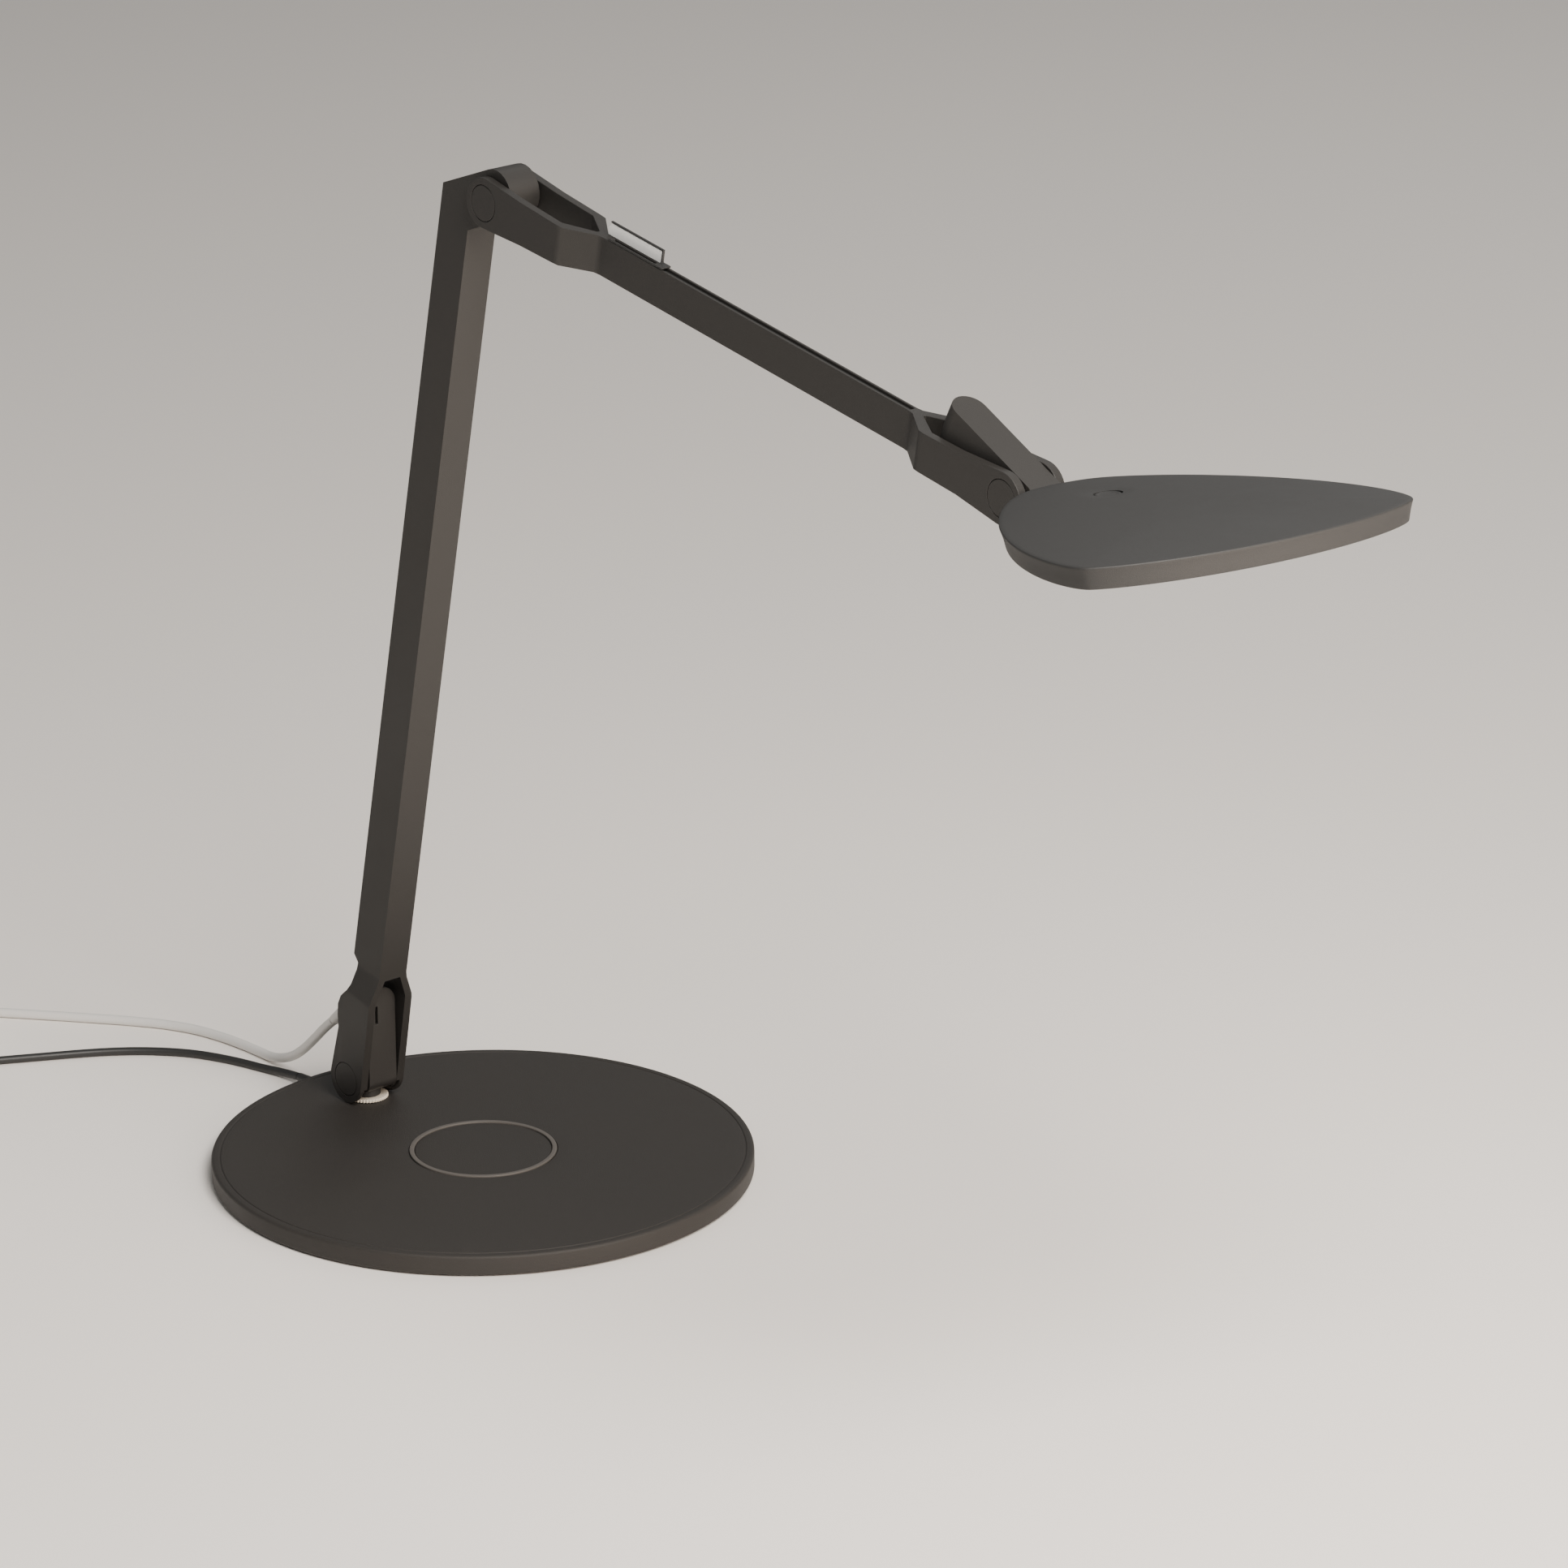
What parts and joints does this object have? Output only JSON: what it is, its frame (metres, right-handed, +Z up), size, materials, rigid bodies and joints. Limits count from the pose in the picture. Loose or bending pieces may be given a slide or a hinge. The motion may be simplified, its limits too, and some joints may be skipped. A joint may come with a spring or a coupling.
{
  "type": "swing arm desk lamp",
  "caption": "Two-arm swinging desk lamp with forked joints, a flat rounded-triangle light head and a round weighted base with a wireless charging pad.",
  "frame": {"origin": "middle of the base, on its underside", "axes": "+Z up, +X from the foot of the arm towards the lamp head, arms folding in the XZ plane"},
  "size_m": [0.8191, 0.2991, 0.4388],
  "materials": {
    "dark_paint": "fine matte near-black powder coat on die-cast aluminium",
    "head_paint": "satin dark grey powder coat on aluminium",
    "base_paint": "matte dark grey powder coat on pressed steel",
    "cast_steel": "bare cast weight",
    "steel": "turned steel",
    "dark_plastic": "fine-textured black plastic",
    "pale_plastic": "cream white acetal",
    "ring_grey": "warm grey soft-touch ring",
    "rubber": "matte black rubber",
    "white_pvc": "smooth translucent white cable sheath",
    "black_pvc": "satin black cable sheath",
    "board": "circuit board",
    "copper": "wound copper wire",
    "diffuser": "frosted opal acrylic",
    "tag_white": "blank white card"
  },
  "bodies": {
    "base": {"base_foot_pad": "rubber", "base_weight": "cast_steel", "base_cover": "base_paint", "charging_ring": "ring_grey", "charging_coil": "copper", "charger_board": "board", "base_cord_gland": "black_pvc", "base_cord": "black_pvc", "base_cord_coil": "black_pvc", "base_plug": "black_pvc", "base_plug_shell": "steel", "lamp_cord": "white_pvc", "lamp_cord_coil": "white_pvc", "lamp_plug": "white_pvc", "lamp_plug_pin_a": "steel", "lamp_plug_pin_b": "steel"},
    "bracket": {"base_bracket": "dark_paint", "swivel_disc": "pale_plastic", "swivel_bolt": "steel", "lamp_cord_relief": "white_pvc", "base_pivot_pin": "steel", "base_pivot_washer_right": "pale_plastic", "base_pivot_washer_left": "pale_plastic"},
    "lower_arm": {"lower_arm": "dark_paint", "lower_arm_cover": "dark_plastic", "base_pivot_cap_right": "dark_paint", "base_pivot_cap_left": "dark_paint", "elbow_pivot_pin": "steel", "elbow_pivot_washer_right": "pale_plastic", "elbow_pivot_washer_left": "pale_plastic"},
    "upper_arm": {"upper_arm": "dark_paint", "upper_arm_cover": "dark_plastic", "label_frame": "dark_plastic", "label_tab": "tag_white", "elbow_pivot_cap_right": "dark_paint", "elbow_pivot_cap_left": "dark_paint", "head_pivot_cap_right": "dark_paint", "head_pivot_cap_left": "dark_paint"},
    "neck": {"head_neck": "dark_paint", "head_pivot_pin": "steel", "head_pivot_washer_right": "pale_plastic", "head_pivot_washer_left": "pale_plastic"},
    "head": {"head_shell": "head_paint", "head_swivel_pin": "steel", "head_diffuser": "diffuser", "head_light_guide": "diffuser", "led_board": "board"},
    "button": {"head_button": "head_paint"}
  },
  "joints": [
    {"name": "base_swivel", "type": "hinge", "parent": "base", "child": "bracket", "pos_m": [-0.0787, 0, 0.0095], "axis": [0, 0, 1], "range_deg": [-90, 90]},
    {"name": "lower_arm_tilt", "type": "hinge", "parent": "bracket", "child": "lower_arm", "pos_m": [-0.0787, 0, 0.0202], "axis": [0, 1, 0], "range_deg": [-35, 30]},
    {"name": "elbow", "type": "hinge", "parent": "lower_arm", "child": "upper_arm", "pos_m": [0.0254, 0, 0.4253], "axis": [0, 1, 0], "range_deg": [-75, 55]},
    {"name": "head_tilt", "type": "hinge", "parent": "upper_arm", "child": "neck", "pos_m": [0.3273, 0, 0.3722], "axis": [0, 1, 0], "range_deg": [-80, 80]},
    {"name": "head_swivel", "type": "hinge", "parent": "neck", "child": "head", "pos_m": [0.35311, 0, 0.37537], "axis": [-0.1219, 0, 0.9925], "range_deg": [-13.5, 34.5]},
    {"name": "button_press", "type": "slide", "parent": "head", "child": "button", "axis": [0.1219, 0, -0.9925], "range_m": [0, 0.0004], "stiffness_N_per_m": 300, "springref_m": -0.0008}
  ]
}
